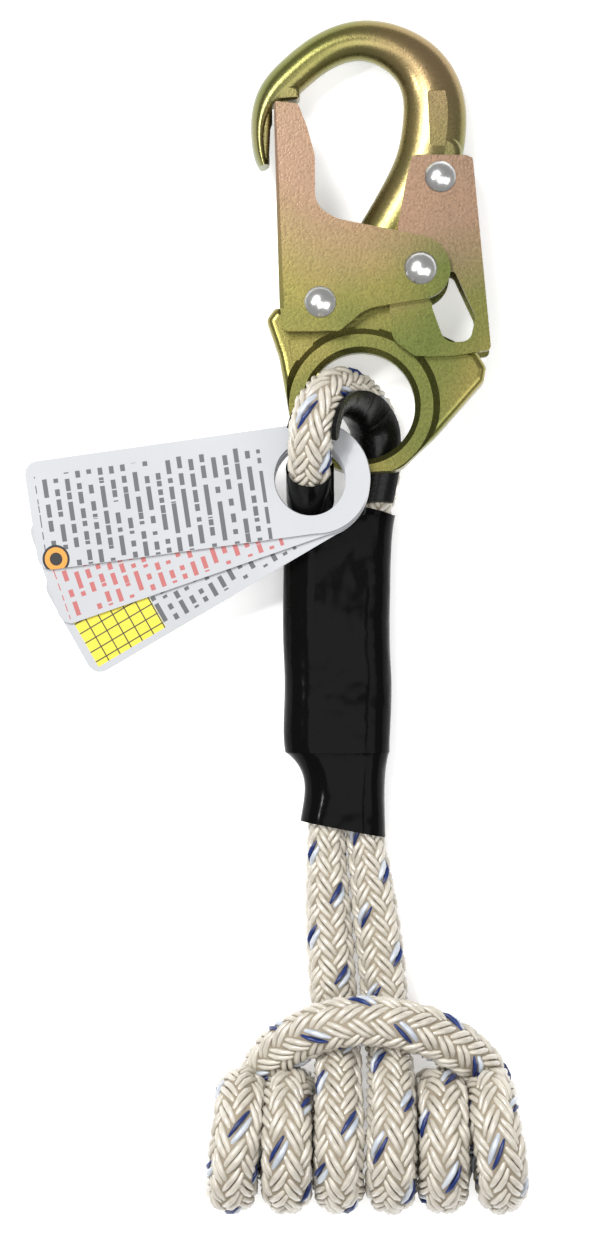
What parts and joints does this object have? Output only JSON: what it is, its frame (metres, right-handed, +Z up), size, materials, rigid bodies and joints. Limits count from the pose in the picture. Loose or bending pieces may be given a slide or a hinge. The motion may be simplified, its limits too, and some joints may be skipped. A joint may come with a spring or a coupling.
{
  "type": "rope grab lanyard",
  "caption": "Short rope lanyard: double-action snap hook in a thimbled rope eye, black sleeve, fan of tags, and two rope legs that form a friction hitch for a lifeline.",
  "frame": {"origin": "middle of the bounding box of everything but the legs and hitch, on the surface that the part lies on", "axes": "+Z up from the surface, +Y along the lanyard towards the hook's bow, +X to the side that the lock lever is on"},
  "size_m": [0.1425, 0.3421, 0.0463],
  "materials": {
    "plated_steel": "yellow zinc plate, satin",
    "rivet_steel": "bright",
    "spring_steel": "drawn wire",
    "rope": "double braid with tracer yarns",
    "thimble_plastic": "gloss",
    "sleeve_plastic": "gloss heat shrink",
    "twine": "waxed twine",
    "tag_laminate": "clear laminate over card"
  },
  "bodies": {
    "rope_assembly": {"rope_eye": "rope", "eye_thimble": "thimble_plastic", "throat_wrap_left": "sleeve_plastic", "throat_wrap_right": "sleeve_plastic", "shrink_sleeve": "sleeve_plastic", "whipping": "twine", "lock_stitching": "twine", "rope_leg_left": "rope", "rope_leg_right": "rope", "hitch_wraps": "rope", "hitch_bridge": "rope"},
    "hook": {"hook_body": "plated_steel", "gate_pivot_rivet": "rivet_steel", "lever_pivot_rivet": "rivet_steel", "gate_spacer_front": "rivet_steel", "gate_spacer_back": "rivet_steel", "gate_spring": "spring_steel", "lever_spring": "spring_steel"},
    "lever": {"lock_lever": "plated_steel"},
    "gate": {"gate": "plated_steel", "gate_lock_rivet": "rivet_steel"},
    "front_tag": {"tag_front": "tag_laminate"},
    "middle_tag": {"tag_middle": "tag_laminate"},
    "back_tag": {"tag_back": "tag_laminate"}
  },
  "joints": [
    {"name": "hook_swing", "type": "hinge", "parent": "rope_assembly", "child": "hook", "pos_m": [0.0286, 0.00596, 0.01912], "axis": [0, 0.0802, 0.9968], "range_deg": [-12, 12]},
    {"name": "lever_hinge", "type": "hinge", "parent": "hook", "child": "lever", "pos_m": [0.0512, 0.07096, 0.01389], "axis": [0, 0.0802, 0.9968], "range_deg": [-13, 0], "stiffness_Nm_per_rad": 0.6, "springref_deg": 6.88, "deforming": ["lever_spring"]},
    {"name": "gate_hinge", "type": "hinge", "parent": "hook", "child": "gate", "pos_m": [0.0169, 0.03477, 0.0168], "axis": [0, 0.0802, 0.9968], "range_deg": [-26, 0], "stiffness_Nm_per_rad": 0.25, "springref_deg": 6.88, "deforming": ["gate_spring"]},
    {"name": "tag_front_swing", "type": "hinge", "parent": "rope_assembly", "child": "front_tag", "pos_m": [0.01416, -0.01459, 0.02857], "axis": [-0.2606, -0.0897, 0.9613], "range_deg": [-8, 4]},
    {"name": "tag_middle_swing", "type": "hinge", "parent": "rope_assembly", "child": "middle_tag", "pos_m": [0.01418, -0.01559, 0.02724], "axis": [-0.2606, -0.0897, 0.9613], "range_deg": [-8, 8]},
    {"name": "tag_back_swing", "type": "hinge", "parent": "rope_assembly", "child": "back_tag", "pos_m": [0.0142, -0.0166, 0.0259], "axis": [-0.2606, -0.0897, 0.9613], "range_deg": [-8, 8]}
  ],
  "couplings": [
    {"joint": "gate_hinge", "follows": "lever_hinge", "ratio": 2}
  ]
}
